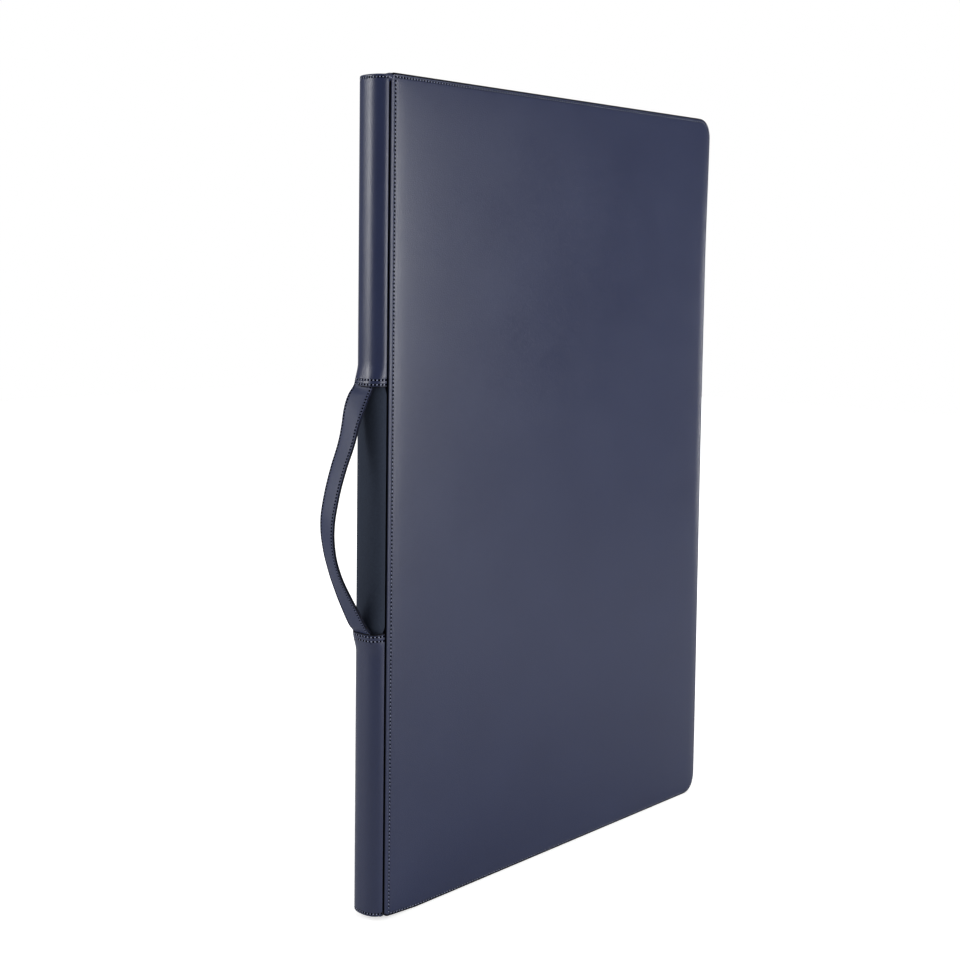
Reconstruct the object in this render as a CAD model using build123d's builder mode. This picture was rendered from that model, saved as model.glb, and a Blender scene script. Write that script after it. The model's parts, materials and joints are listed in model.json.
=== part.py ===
# Folding leather-covered pad, closed and standing on its short edge, in millimetres.
# Two stiffened, padded leaves close face to face and hinge on a rounded spine,
# which carries a strap handle. +Z is up, X runs across the leaves from the spine
# to their free edge, and -Y is the front. The origin is the middle of the base.
from build123d import *
import math
import os

os.makedirs("parts", exist_ok=True)

# Leaf outline
pad_height = 900.0          # leaf height
leaf_width = 580.0          # crease to free edge
corner_radius = 25.0        # the two free corners of a leaf

# Leaf layers, from the closed middle outwards
leaf_gap = 0.8              # between the two closed leaves
lining = 1.2                # leather on the inner face
inner_foam = 3.0            # thin foam under the inner face
board = 4.0                 # stiffening board
pad_foam = 10.0             # thick foam under the outer face, at the rim
cover = 1.4                 # leather on the outer face and round the rim
crown_rise = 2.0            # how far the padding swells beyond the rim
crown_run = 36.0            # width of the slope up to the crown
crown_margin = 6.0          # flat border outside the crown
seam_margin = 9.0           # the same along the crease, where the topstitch runs
board_inset = 5.0           # the foam wraps the board by this much
edge_round = 4.0            # outer rim rounding
back_round = 1.6            # inner rim rounding
turn_length = 1.4           # of the outer panel past its rounding, to the band's seam
band_width = 9.0            # visible width of the edge band
fit = 0.1                   # between layers that curve round one another
least_round = 0.5           # an inner corner tighter than this is left sharp
position_slack = 0.01       # when edges are picked by their place

# Crease
groove_half = 1.25          # half the width of the crease groove
lip_round = 2.5             # rounding of both lips, and the hinge line's depth
hinge_leather = 0.8         # leather skived thin where it folds
hinge_clear = 0.3           # fold to leaf
hinge_tail = 5.0            # length of the fold's tail on the spine

# Spine
spine_bulge = 15.0          # apex of the spine beyond the crease plane
spine_top_short = 2.5       # the spine stops short of the leaves' top
spine_foot_short = 6.0      # and further short of their foot
sleeve = 1.2                # upper and lower sleeve leather
underlay = 1.2              # full-length leather under the sleeves
spine_lining = 1.2          # leather facing the leaves' edges
spine_board = 3.0           # stiffening strip
flange_half = 13.0          # half the gap between the turned-in flanges
strip_inset = 0.5           # the lining and strip stop short of the flanges

# Handle
handle_span = 261.0         # between the two hems
handle_drop = 5.0           # the handle sits a little below the middle
handle_reach = 67.0         # strap's outer face beyond the crease plane
grip_radius = 108.0         # bend of the grip
strap_face = 1.2            # outer leather
strap_webbing = 1.0         # woven core
strap_lining = 1.0          # inner leather
strap_end_width = 24.0      # at the hems
strap_grip_width = 20.0     # at the middle of the grip
tail_length = 12.0          # of strap under each hem
tail_clear = 1.0            # end of the tail to the sleeve's slope
exit_inset = 2.0            # where the strap starts to turn out, from the hem
exit_rise = 13.0            # height of its steep shoulder
exit_radius = 12.0          # bend at the hem
shoulder_radius = 25.0      # bend above the shoulder
lining_inset = 4.0          # the strap's lining ends this far from the hem
flare_slope = 15.0          # of each sleeve, where it rises over the strap's tail
flare_clear = 0.2           # strap to sleeve
flare_power = 3.0           # squareness of the flared mouth, an ellipse being 2
backing = 0.8               # woven patch behind each sewn strap end
backing_length = 42.0
backing_half = 11.0         # half its width
seat_cut = 1.0              # spare depth of a cut that opens a surface

# Derived places
half_thick = leaf_gap / 2 + lining + inner_foam + board + pad_foam + cover
crease_x = (handle_reach - leaf_width) / 2
hinge_depth = half_thick - lip_round
depth_lining = leaf_gap / 2
depth_inner_foam = depth_lining + lining
depth_board = depth_inner_foam + inner_foam
depth_foam = depth_board + board
depth_cover = depth_foam + pad_foam
depth_turn = half_thick - edge_round - turn_length
depth_band = depth_turn - band_width
spine_low = spine_foot_short
spine_high = pad_height - spine_top_short
handle_mid = pad_height / 2 - handle_drop
hem_low = handle_mid - handle_span / 2
hem_high = handle_mid + handle_span / 2
core_inset = sleeve + underlay + 2 * fit
strip_half = flange_half - strip_inset
strip_x = groove_half + spine_lining
strap_tail = strap_webbing + strap_face


def finish(part, name):
    """Label one finished piece and write it."""
    part.label = name
    export_step(part, f"parts/{name}.step")


# ---- Leaves: the front one is built in place, and the rear one mirrors it

def leaf_outline(depth, inset, hinge_inset=None):
    """Outline of the front leaf at a depth, with its free corners rounded."""
    start = groove_half + (inset if hinge_inset is None else hinge_inset)
    end = leaf_width - inset
    low = inset
    high = pad_height - inset
    radius = max(corner_radius - inset, least_round)
    plane = Plane(origin=(crease_x, -depth, 0), x_dir=(1, 0, 0), z_dir=(0, -1, 0))
    with BuildSketch(plane) as outline:
        with BuildLine():
            Line((start, low), (end - radius, low))
            RadiusArc((end - radius, low), (end, low + radius), -radius)
            Line((end, low + radius), (end, high - radius))
            RadiusArc((end, high - radius), (end - radius, high), -radius)
            Line((end - radius, high), (start, high))
            Line((start, high), (start, low))
        make_face()
    return outline.sketch


def slab(inset, depth, thickness, mode=Mode.ADD):
    """Flat layer of the front leaf, in the current part."""
    extrude(leaf_outline(depth, inset), amount=thickness, mode=mode)


def edges_at(piece, depth):
    """Edges of a piece of the front leaf that lie at a depth, the crease side first."""
    return piece.edges().filter_by_position(
        Axis.Y, -depth - position_slack, -depth + position_slack).sort_by(Axis.X)


def padded_form(inset, low, high):
    """Solid form of the front leaf between two depths: rim and lip rounded, with a crown."""
    with BuildPart() as form:
        slab(inset, low, high - low)
        fillet(edges_at(form, high)[1:], edge_round - inset)
        fillet(edges_at(form, high)[0], lip_round - inset)
        foot = leaf_outline(high, crown_margin, seam_margin)
        top = leaf_outline(high + crown_rise, crown_margin + crown_run, seam_margin + crown_run)
        loft([foot, top])
    return form.part


# Outer panel: leather over the crowned face, turned over the rim
with BuildPart() as front_outer_panel:
    add(padded_form(0, depth_turn, half_thick))
    add(padded_form(cover, depth_turn, depth_cover), mode=Mode.SUBTRACT)

# Thick foam under it, with a pocket for the board
with BuildPart() as front_pad_foam:
    add(padded_form(cover + fit, depth_board, depth_cover))
    slab(board_inset, depth_board, board, Mode.SUBTRACT)

# Edge band: a strip of leather round the rim, between the outer and inner panels
with BuildPart() as front_edge_band:
    slab(0, depth_band, band_width)
    slab(cover, depth_band, band_width, Mode.SUBTRACT)

# Inner panel: the lining leather, turned over the inner rim
with BuildPart() as front_inner_panel:
    slab(0, depth_lining, depth_band - depth_lining)
    fillet(edges_at(front_inner_panel, depth_lining), back_round)
    slab(cover, depth_inner_foam, depth_band - depth_inner_foam, Mode.SUBTRACT)

with BuildPart() as front_inner_foam:
    slab(cover + fit, depth_inner_foam, inner_foam)

with BuildPart() as front_board:
    slab(board_inset, depth_board, board)

leaf_pieces = {
    "outer_panel": front_outer_panel,
    "edge_band": front_edge_band,
    "inner_panel": front_inner_panel,
    "pad_foam": front_pad_foam,
    "inner_foam": front_inner_foam,
    "board": front_board,
}
for piece_name, front_piece in leaf_pieces.items():
    finish(front_piece.part, f"front_{piece_name}")
    with BuildPart() as rear_piece:
        mirror(front_piece.part, about=Plane.XZ)
    finish(rear_piece.part, f"rear_{piece_name}")


# ---- Spine: a foam core, a stiffening strip and leather, in layers

def spine_section(inset, height, bulge=spine_bulge, power=2.0):
    """Rounded section of the spine at a height: half a superellipse with its lips rounded."""
    reach = bulge - inset
    half = half_thick - inset
    wall = groove_half + inset
    steps = 12
    points = []
    for step in range(steps + 1):
        angle = math.pi * (step / steps - 0.5)
        across = math.copysign(abs(math.sin(angle)) ** (2 / power), angle)
        along = max(math.cos(angle), 0.0) ** (2 / power)
        points.append((crease_x - reach * along, half * across))
    with BuildSketch(Plane.XY.offset(height)) as section:
        with BuildLine():
            Spline(points)
            Line(points[-1], points[0])
        make_face()
        with Locations((crease_x - wall - half_thick, 0)):
            Rectangle(2 * half_thick, 4 * half_thick, mode=Mode.INTERSECT)
        if lip_round - inset > least_round:
            fillet(section.vertices().group_by(Axis.X)[-1], lip_round - inset)
    return section.sketch


def spine_length(inset, low, high, mode=Mode.ADD):
    """Straight length of the spine's section, in the current part."""
    extrude(spine_section(inset, low), amount=high - low, mode=mode)


def block(low, high, start_x, end_x, half_width, mode=Mode.ADD):
    """Straight block along the spine, between two reaches beyond the crease plane."""
    with BuildSketch(Plane.XY.offset(low)) as section:
        with Locations((crease_x - (start_x + end_x) / 2, 0)):
            Rectangle(end_x - start_x, 2 * half_width)
    extrude(section.sketch, amount=high - low, mode=mode)


def open_back(low, high):
    """Cut between the turned-in flanges on the side that faces the leaves."""
    block(low, high, 0, groove_half + core_inset, flange_half, Mode.SUBTRACT)


# The mouth of a sleeve clears the strap's outer corner
tail_reach = spine_bulge - sleeve + strap_tail
mouth_share = (strap_end_width / 2 + flare_clear) / (half_thick - sleeve)
mouth_rise = (1 - mouth_share ** flare_power) ** (1 / flare_power)
mouth_bulge = (tail_reach + flare_clear) / mouth_rise + sleeve


def sleeve_form(inset, end, hem, mode=Mode.ADD):
    """Form of a sleeve from the spine's end to its flared hem, in the current part."""
    way = math.copysign(1, end - hem)
    mouth = hem + way * (tail_length + tail_clear)
    foot = mouth + way * flare_slope
    spine_length(inset, min(end, foot), max(end, foot), mode)
    loft([spine_section(inset, foot), spine_section(inset, mouth, mouth_bulge, flare_power)],
         mode=mode)
    extrude(spine_section(inset, min(hem, mouth), mouth_bulge, flare_power),
            amount=abs(mouth - hem), mode=mode)


with BuildPart() as spine_upper_sleeve:
    sleeve_form(0, spine_high, hem_high)
    sleeve_form(sleeve, spine_high, hem_high, Mode.SUBTRACT)
    open_back(hem_high, spine_high)
finish(spine_upper_sleeve.part, "spine_upper_sleeve")

with BuildPart() as spine_lower_sleeve:
    sleeve_form(0, spine_low, hem_low)
    sleeve_form(sleeve, spine_low, hem_low, Mode.SUBTRACT)
    open_back(spine_low, hem_low)
finish(spine_lower_sleeve.part, "spine_lower_sleeve")

# Full-length leather under the sleeves, open to view between the two hems
with BuildPart() as spine_underlay:
    spine_length(sleeve + fit, spine_low, spine_high)
    spine_length(core_inset - fit, spine_low, spine_high, Mode.SUBTRACT)
    open_back(spine_low, spine_high)
finish(spine_underlay.part, "spine_underlay")


def backing_patch(hem, end, spare=0):
    """Woven patch under the underlay, behind a sewn strap end, or its seat with spare depth."""
    low = min(hem, hem + math.copysign(backing_length, end - hem))
    high = low + backing_length
    with BuildPart() as patch:
        spine_length(core_inset - spare, low, high)
        block(low, high, spine_bulge / 2, spine_bulge, backing_half, Mode.INTERSECT)
        spine_length(core_inset + backing, low, high, Mode.SUBTRACT)
    return patch.part


finish(backing_patch(hem_high, spine_high), "handle_upper_backing")
finish(backing_patch(hem_low, spine_low), "handle_lower_backing")

# Foam core of the spine, with seats for the strip and the two patches
with BuildPart() as spine_foam:
    spine_length(core_inset, spine_low, spine_high)
    block(spine_low, spine_high, 0, strip_x + spine_board, strip_half, Mode.SUBTRACT)
    add(backing_patch(hem_high, spine_high, seat_cut), mode=Mode.SUBTRACT)
    add(backing_patch(hem_low, spine_low, seat_cut), mode=Mode.SUBTRACT)
finish(spine_foam.part, "spine_foam")

with BuildPart() as spine_stiffener:
    block(spine_low, spine_high, strip_x, strip_x + spine_board, strip_half)
finish(spine_stiffener.part, "spine_stiffener")

with BuildPart() as spine_inner_lining:
    block(spine_low, spine_high, groove_half, strip_x, strip_half)
finish(spine_inner_lining.part, "spine_inner_lining")

# Hinge leather: a tail on the spine's wall and a round fold on the hinge line
with BuildPart() as front_hinge_leather:
    with BuildSketch(Plane.XY.offset(spine_low)):
        with Locations((crease_x - groove_half + hinge_leather / 2, hinge_tail / 2 - hinge_depth)):
            Rectangle(hinge_leather, hinge_tail)
        with Locations((crease_x, -hinge_depth)):
            Circle(groove_half - hinge_clear)
    extrude(amount=spine_high - spine_low)
finish(front_hinge_leather.part, "front_hinge_leather")

with BuildPart() as rear_hinge_leather:
    mirror(front_hinge_leather.part, about=Plane.XZ)
finish(rear_hinge_leather.part, "rear_hinge_leather")


# ---- Strap handle: its outer face runs out of the upper hem, round the grip and back in

exit_height = handle_span / 2 - exit_inset
arm_height = exit_height - exit_rise
arm_reach = tail_reach + exit_rise
grip_centre = handle_reach - grip_radius
arm_away = math.hypot(arm_reach - grip_centre, arm_height)
arm_turn = math.atan2(arm_height, arm_reach - grip_centre) - math.acos(grip_radius / arm_away)
arms_meet = grip_centre + grip_radius / math.cos(arm_turn)
tail_height = handle_span / 2 + tail_length

upper_route = [(tail_reach, tail_height), (tail_reach, exit_height), (arm_reach, arm_height)]
lower_route = [(reach, -height) for reach, height in reversed(upper_route)]
route = upper_route + [(arms_meet, 0)] + lower_route
bends = [exit_radius, shoulder_radius, grip_radius, shoulder_radius, exit_radius]

with BuildLine() as strap_path:
    FilletPolyline([(crease_x - reach, 0, handle_mid + height) for reach, height in route],
                   radius=bends)


def strap_layer(depth, thickness, end_height):
    """One layer of the strap at a depth from its outer face, waisted at the grip."""
    end_y = strap_end_width / 2
    ends = (handle_mid - tail_height, handle_mid + tail_height)
    with BuildPart() as layer:
        with BuildSketch(Plane.XY.offset(ends[1])):
            with Locations((crease_x - tail_reach + depth + thickness / 2, 0)):
                Rectangle(thickness, strap_end_width)
        sweep(path=strap_path.wires()[0])
        with BuildSketch(Plane.YZ.offset(crease_x)):
            with BuildLine():
                for side in (1, -1):
                    ThreePointArc((side * end_y, hem_low),
                                  (side * strap_grip_width / 2, handle_mid),
                                  (side * end_y, hem_high))
                    Line((side * end_y, hem_low), (side * end_y, ends[0]))
                    Line((side * end_y, hem_high), (side * end_y, ends[1]))
                for end in ends:
                    Line((-end_y, end), (end_y, end))
            make_face()
        extrude(amount=-2 * handle_reach, mode=Mode.INTERSECT)
        block(handle_mid - end_height, handle_mid + end_height, 0, 2 * handle_reach,
              strap_end_width, Mode.INTERSECT)
    return layer.part


finish(strap_layer(0, strap_face, tail_height), "handle_face")
finish(strap_layer(strap_face, strap_webbing, tail_height), "handle_webbing")
finish(strap_layer(strap_tail, strap_lining, handle_span / 2 - lining_inset), "handle_lining")
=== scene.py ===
import json
import math

import bpy
import numpy as np
from mathutils import Matrix, Vector, noise


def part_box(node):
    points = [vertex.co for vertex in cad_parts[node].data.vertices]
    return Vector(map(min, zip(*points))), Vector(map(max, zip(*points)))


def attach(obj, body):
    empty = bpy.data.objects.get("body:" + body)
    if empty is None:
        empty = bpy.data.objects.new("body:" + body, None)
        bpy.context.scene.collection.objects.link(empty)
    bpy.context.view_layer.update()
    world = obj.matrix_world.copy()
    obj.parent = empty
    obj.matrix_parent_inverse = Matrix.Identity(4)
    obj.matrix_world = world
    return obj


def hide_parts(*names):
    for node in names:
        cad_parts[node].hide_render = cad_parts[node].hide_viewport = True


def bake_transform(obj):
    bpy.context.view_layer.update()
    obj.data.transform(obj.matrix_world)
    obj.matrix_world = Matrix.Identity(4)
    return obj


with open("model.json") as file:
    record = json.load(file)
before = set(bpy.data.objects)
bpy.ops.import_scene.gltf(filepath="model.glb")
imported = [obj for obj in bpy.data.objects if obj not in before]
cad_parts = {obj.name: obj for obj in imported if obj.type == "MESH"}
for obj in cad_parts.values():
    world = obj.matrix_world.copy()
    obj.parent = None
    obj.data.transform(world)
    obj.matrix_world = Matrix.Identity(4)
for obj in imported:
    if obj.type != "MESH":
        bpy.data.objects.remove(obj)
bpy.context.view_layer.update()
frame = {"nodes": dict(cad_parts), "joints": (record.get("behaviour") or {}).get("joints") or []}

# Folding leather pad, closed and standing on its short edge, in metres.
# The spine runs up Z at the left, the leaves reach along +X, and the front leaf faces -Y.
# A place on a leaf is its distance from the crease, its height and its depth from the pad's middle.
mm = 0.001

# the places that everything is worked out from, all read from the frame
hinge = frame["joints"][0]["pos_m"]
creaseX = hinge[0]
hingeDepth = -hinge[1]
faceDepth = hingeDepth + 2.5 * mm  # the folds turn a little under the face
coverLow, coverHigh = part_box("front_outer_panel")
padHeight = coverHigh.z
leafWidth = coverHigh.x - creaseX
grooveHalf = coverLow.x - creaseX + 0.5 * mm  # to a leaf's folded edge, drawn in by its stitches
wallBack = coverLow.x - creaseX + 0.4 * mm  # from the crease to the spine's wall
turnDepth = -coverHigh.y  # the seam between cover and edge band
bandDepth = -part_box("front_edge_band")[1].y  # the seam between edge band and lining
liningDepth = -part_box("front_inner_panel")[1].y
boardDepth = -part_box("front_board")[1].y
underLow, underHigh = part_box("spine_underlay")
spineLow, spineHigh = underLow.z, underHigh.z
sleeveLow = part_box("spine_upper_sleeve")[0]
hemHigh, hemLow = sleeveLow.z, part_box("spine_lower_sleeve")[1].z
handleMid = (hemHigh + hemLow) / 2


def linear(hexColour):  # sRGB hex to a linear colour
    parts = [int(hexColour[i:i + 2], 16) / 255 for i in (1, 3, 5)]
    return [*(c / 12.92 if c <= 0.04045 else ((c + 0.055) / 1.055) ** 2.4 for c in parts), 1]


def addNode(tree, kind, values=None, links=None, **settings):
    node = tree.nodes.new(kind)
    for name, value in settings.items():
        setattr(node, name, value)
    for name, value in (values or {}).items():
        node.inputs[name].default_value = value
    for name, socket in (links or {}).items():
        tree.links.new(socket, node.inputs[name])
    return node


def smooth(value):  # eased 0 to 1
    value = min(1.0, max(0.0, value))
    return value * value * (3 - 2 * value)


def mix(a, b, share):
    return a + (b - a) * share


def runLengths(points):  # how far along a line each of its points lies
    lengths = [0.0]
    for a, b in zip(points, points[1:]):
        lengths.append(lengths[-1] + math.dist(a, b))
    return lengths


def steps(length, first, growth, largest, lines=()):
    # distances along a length, fine at both ends, with lines kept exactly
    marks, step = [0.0], first
    while step < largest and marks[-1] + step < length / 2:
        marks.append(marks[-1] + step)
        step *= growth
    rest = length - 2 * marks[-1]
    count = max(1, round(rest / largest))
    marks += [marks[-1] + rest * i / count for i in range(1, count)] + [length - m for m in marks[::-1]]
    apart = 0.45 * first
    marks = [m for m in marks if all(abs(m - line) > apart for line in lines)]
    return sorted(marks + list(lines))


def quarterTurn(x, y, radius, start, count):  # points round a corner, from a start angle in degrees
    angles = [math.radians(start + 90 * i / count) for i in range(count + 1)]
    return [(x + radius * math.cos(angle), y + radius * math.sin(angle)) for angle in angles]


def gridFaces(rows, columns, start=0, wrap=False, flip=False):
    faces = []
    for i in range(rows - 1):
        for j in range(columns if wrap else columns - 1):
            a, b = start + i * columns + j, start + i * columns + (j + 1) % columns
            c, d = b + columns, a + columns
            faces.append((a, d, c, b) if flip else (a, b, c, d))
    return faces


def gridRim(rows, columns):  # the points round the edge of a grid, in order
    return ([*range(columns)] + [j * columns + columns - 1 for j in range(1, rows)]
            + [(rows - 1) * columns + i for i in range(columns - 2, -1, -1)]
            + [j * columns for j in range(rows - 2, 0, -1)])


def tubeFaces(rings, count, start=0, flip=False):  # rings of points, closed at both ends
    last = start + (rings - 1) * count
    ends = [[*range(start, start + count)][::-1], [*range(last, last + count)]]
    faces = gridFaces(rings, count, start, wrap=True, flip=flip)
    return faces + [end[::-1] if flip else end for end in ends]


def slabFaces(rows, columns, flip=False):  # two grids of points, joined round their rims
    size, rim = rows * columns, gridRim(rows, columns)
    faces = gridFaces(rows, columns, flip=flip) + gridFaces(rows, columns, size, flip=not flip)
    sides = [(b, a, a + size, b + size) for a, b in zip(rim, rim[1:] + rim[:1])]
    return faces + [side[::-1] if flip else side for side in sides]


def addPart(points, faces, partPoints, partFaces):  # joins a closed part into a piece
    faces += [tuple(i + len(points) for i in face) for face in partFaces]
    points += partPoints


def makePiece(name, points, faces, materials, body, replaced=()):
    mesh = bpy.data.meshes.new(name)
    mesh.from_pydata([tuple(p) for p in points], [], faces)
    mesh.polygons.foreach_set("use_smooth", [True] * len(mesh.polygons))
    for material in materials:
        mesh.materials.append(material)
    mesh.update()
    piece = bpy.data.objects.new(name, mesh)
    bpy.context.scene.collection.objects.link(piece)
    if body:
        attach(piece, body)
    if replaced:
        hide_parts(*replaced)
    return piece


noSeam = 50.0  # mm, far enough from any row of stitches to have no needle holes


def setSeam(piece, phase, across):  # where a vertex lies along and beside its nearest row of stitches
    for name, values in (("seamPhase", phase), ("seamAcross", across)):
        layer = piece.data.attributes.new(name, "FLOAT", "POINT")
        layer.data.foreach_set("value", np.asarray(values, np.float32))


def setSecondMaterial(piece, chosen):  # gives some faces the piece's second material
    for index in chosen:
        piece.data.polygons[index].material_index = 1


def startMaterial(name):  # a new material, with its tree, its shader and the object's own coordinates
    material = bpy.data.materials.new(name)
    material.use_nodes = True
    tree = material.node_tree
    place = addNode(tree, "ShaderNodeTexCoord").outputs["Object"]
    return material, tree, tree.nodes["Principled BSDF"], place


def colourAndRelief(tree, shader, pattern, settings, strength, depth, **values):
    # one pattern gives both the colour, from dark to light, and the relief
    tone = addNode(tree, "ShaderNodeValToRGB", links={"Fac": pattern})
    for element, shade in zip(tone.color_ramp.elements, ("dark", "light")):
        element.color = linear(settings[shade])
    bump = addNode(tree, "ShaderNodeBump", {"Strength": strength, "Distance": depth},
                   {"Height": pattern})
    tree.links.new(tone.outputs["Color"], shader.inputs["Base Color"])
    tree.links.new(bump.outputs["Normal"], shader.inputs["Normal"])
    for name, value in {"Roughness": settings["roughness"], "IOR": settings["ior"], **values}.items():
        shader.inputs[name].default_value = value


def grainHeight(tree, place, settings):
    # pebbled grain: rounded cells with fine creases between them, and hair pores finer still.
    # Real pebble is too fine to show, so it is drawn about twice its size
    cell, depth = settings["grainCell"], settings["grainDepth"]
    cells = addNode(tree, "ShaderNodeTexVoronoi", {"Scale": 1 / cell, "Randomness": 1.0},
                    {"Vector": place}, feature="DISTANCE_TO_EDGE")
    crown = addNode(tree, "ShaderNodeMapRange",
                    {"From Min": 0.0, "From Max": settings["creaseShare"], "To Max": depth},
                    {"Value": cells.outputs["Distance"]}, interpolation_type="SMOOTHSTEP")
    pores = addNode(tree, "ShaderNodeTexNoise",
                    {"Scale": settings["poresPerCell"] / cell, "Detail": 3.0, "Roughness": 0.6},
                    {"Vector": place})
    return addNode(tree, "ShaderNodeMath", {1: depth * settings["poreShare"]},
                   {0: pores.outputs["Fac"], 2: crown.outputs["Result"]}, operation="MULTIPLY_ADD")


def holeMask(tree, pitch, width):
    # a needle hole wherever the seam's phase is whole, as wide as the needle leaves it; it also marks
    # where shade is painted into the hole
    phase = addNode(tree, "ShaderNodeAttribute", attribute_name="seamPhase")
    across = addNode(tree, "ShaderNodeAttribute", attribute_name="seamAcross")
    off = addNode(tree, "ShaderNodeMath", {1: 0.5}, {0: phase.outputs["Fac"]}, operation="PINGPONG")
    along = addNode(tree, "ShaderNodeMath", {1: pitch / mm}, {0: off.outputs[0]}, operation="MULTIPLY")
    away = addNode(tree, "ShaderNodeCombineXYZ",
                   links={"X": along.outputs[0], "Y": across.outputs["Fac"]})
    squared = addNode(tree, "ShaderNodeVectorMath", links={0: away.outputs[0], 1: away.outputs[0]},
                      operation="DOT_PRODUCT")
    dark, clear = (0.62 * width) ** 2, width ** 2  # the squares of the hole's inner and outer reach
    return addNode(tree, "ShaderNodeMapRange",
                   {"From Min": dark, "From Max": clear, "To Min": 1.0, "To Max": 0.0},
                   {"Value": squared.outputs["Value"]}, interpolation_type="SMOOTHSTEP")


def leather(name, settings, seamPitch=None):
    # Corrected-grain cowhide, split, buffed, dyed and finished: fine pebble, a soft satin sheen,
    # cloudy where the dye took unevenly, and with painted shade darkening the needle holes
    material, tree, shader, place = startMaterial(name)
    cloud = addNode(tree, "ShaderNodeTexNoise",
                    {"Scale": 1 / settings["cloudSize"], "Detail": 4.0, "Roughness": 0.55},
                    {"Vector": place})
    speck = addNode(tree, "ShaderNodeTexNoise",
                    {"Scale": 1 / settings["speckSize"], "Detail": 2.0, "Roughness": 0.6},
                    {"Vector": place})
    both = addNode(tree, "ShaderNodeMix", {"Factor": settings["speckShare"]},
                   {"A": cloud.outputs["Fac"], "B": speck.outputs["Fac"]}, data_type="FLOAT")
    tone = addNode(tree, "ShaderNodeValToRGB", links={"Fac": both.outputs["Result"]})
    for element, position, shade in zip(tone.color_ramp.elements, (0.32, 0.68), ("dark", "light")):
        element.position, element.color = position, linear(settings[shade])
    colour = tone.outputs["Color"]
    height = grainHeight(tree, place, settings).outputs[0]
    shader.inputs["Specular IOR Level"].default_value = settings["specular"]
    if seamPitch:
        hole = holeMask(tree, seamPitch, settings["holeWidth"]).outputs["Result"]
        # painted shade: the colour goes near black inside each needle hole
        holed = addNode(tree, "ShaderNodeMix", links={"Factor": hole, "A": colour}, data_type="RGBA")
        holed.inputs["B"].default_value = linear(settings["hole"])
        colour = holed.outputs["Result"]
        dull = addNode(tree, "ShaderNodeMapRange", {"To Min": settings["specular"], "To Max": 0.0},
                       {"Value": hole})
        tree.links.new(dull.outputs["Result"], shader.inputs["Specular IOR Level"])
        height = addNode(tree, "ShaderNodeMath", {1: -settings["holeDepth"]}, {0: hole, 2: height},
                         operation="MULTIPLY_ADD").outputs[0]
    bump = addNode(tree, "ShaderNodeBump", {"Strength": 1.0, "Distance": 1.0}, {"Height": height})
    shine = addNode(tree, "ShaderNodeMapRange",
                    {"From Min": 0.3, "From Max": 0.7,
                     "To Min": settings["roughness"] - settings["smoother"],
                     "To Max": settings["roughness"] + settings["rougher"]},
                    {"Value": both.outputs["Result"]})
    tree.links.new(colour, shader.inputs["Base Color"])
    tree.links.new(shine.outputs["Result"], shader.inputs["Roughness"])
    tree.links.new(bump.outputs["Normal"], shader.inputs["Normal"])
    shader.inputs["IOR"].default_value = 1.5
    return material


def edgePaintAndShade(name, settings):
    # Edge paint, brushed on and burnished: near black, dull, a little uneven. The same black also stands
    # in as painted shade deep in the crease's groove and on rims turned from the light
    material, tree, shader, place = startMaterial(name)
    brushed = addNode(tree, "ShaderNodeTexNoise", {"Scale": 1 / settings["brushSize"], "Detail": 3.0},
                      {"Vector": place})
    colourAndRelief(tree, shader, brushed.outputs["Fac"], settings, 0.5, settings["brushDepth"],
                    **{"Specular IOR Level": settings["specular"]})
    return material


waveSpacing = math.pi / 10  # a wave texture's own spacing at a scale of 1


def twistedThread(name, settings):
    # Bonded polyester thread, three plies twisted: faint slanted ridges and a waxy sheen
    material, tree, shader, place = startMaterial(name)
    slant = addNode(tree, "ShaderNodeMapping", {"Rotation": (0.6, 0.6, 0.6)}, {"Vector": place})
    ply = addNode(tree, "ShaderNodeTexWave",
                  {"Scale": waveSpacing / settings["plyPitch"], "Distortion": 0.5},
                  {"Vector": slant.outputs["Vector"]}, bands_direction="DIAGONAL")
    colourAndRelief(tree, shader, ply.outputs["Fac"], settings, 0.6, settings["plyDepth"],
                    **{"Sheen Weight": 0.15})
    return material


def wovenNylon(name, settings):
    # Nylon webbing, plain woven: crossing ribs at the yarn spacing, with a dull sheen
    material, tree, shader, place = startMaterial(name)
    warp, weft = [addNode(tree, "ShaderNodeTexWave", {"Scale": waveSpacing / settings["yarn"]},
                          {"Vector": place}, bands_direction=way).outputs["Fac"] for way in ("Y", "Z")]
    weave = addNode(tree, "ShaderNodeMath", links={0: warp, 1: weft}, operation="MULTIPLY")
    colourAndRelief(tree, shader, weave.outputs[0], settings, 0.8, 0.25 * settings["yarn"],
                    **{"Sheen Weight": 0.25})
    return material


def birchPlywood(name, settings):
    # Birch plywood, rotary cut and sanded: long wandering growth lines along the panel
    material, tree, shader, place = startMaterial(name)
    drawn = addNode(tree, "ShaderNodeMapping", {"Scale": (1.0, 1.0, 0.08)}, {"Vector": place})
    grain = addNode(tree, "ShaderNodeTexWave",
                    {"Scale": waveSpacing / settings["lineSpacing"], "Distortion": 9.0, "Detail": 3.0,
                     "Detail Scale": 1.2}, {"Vector": drawn.outputs["Vector"]})
    colourAndRelief(tree, shader, grain.outputs["Fac"], settings, 0.3, 0.1 * mm)
    return material


# the near-black needle-hole colour is painted shade inside the holes
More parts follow.
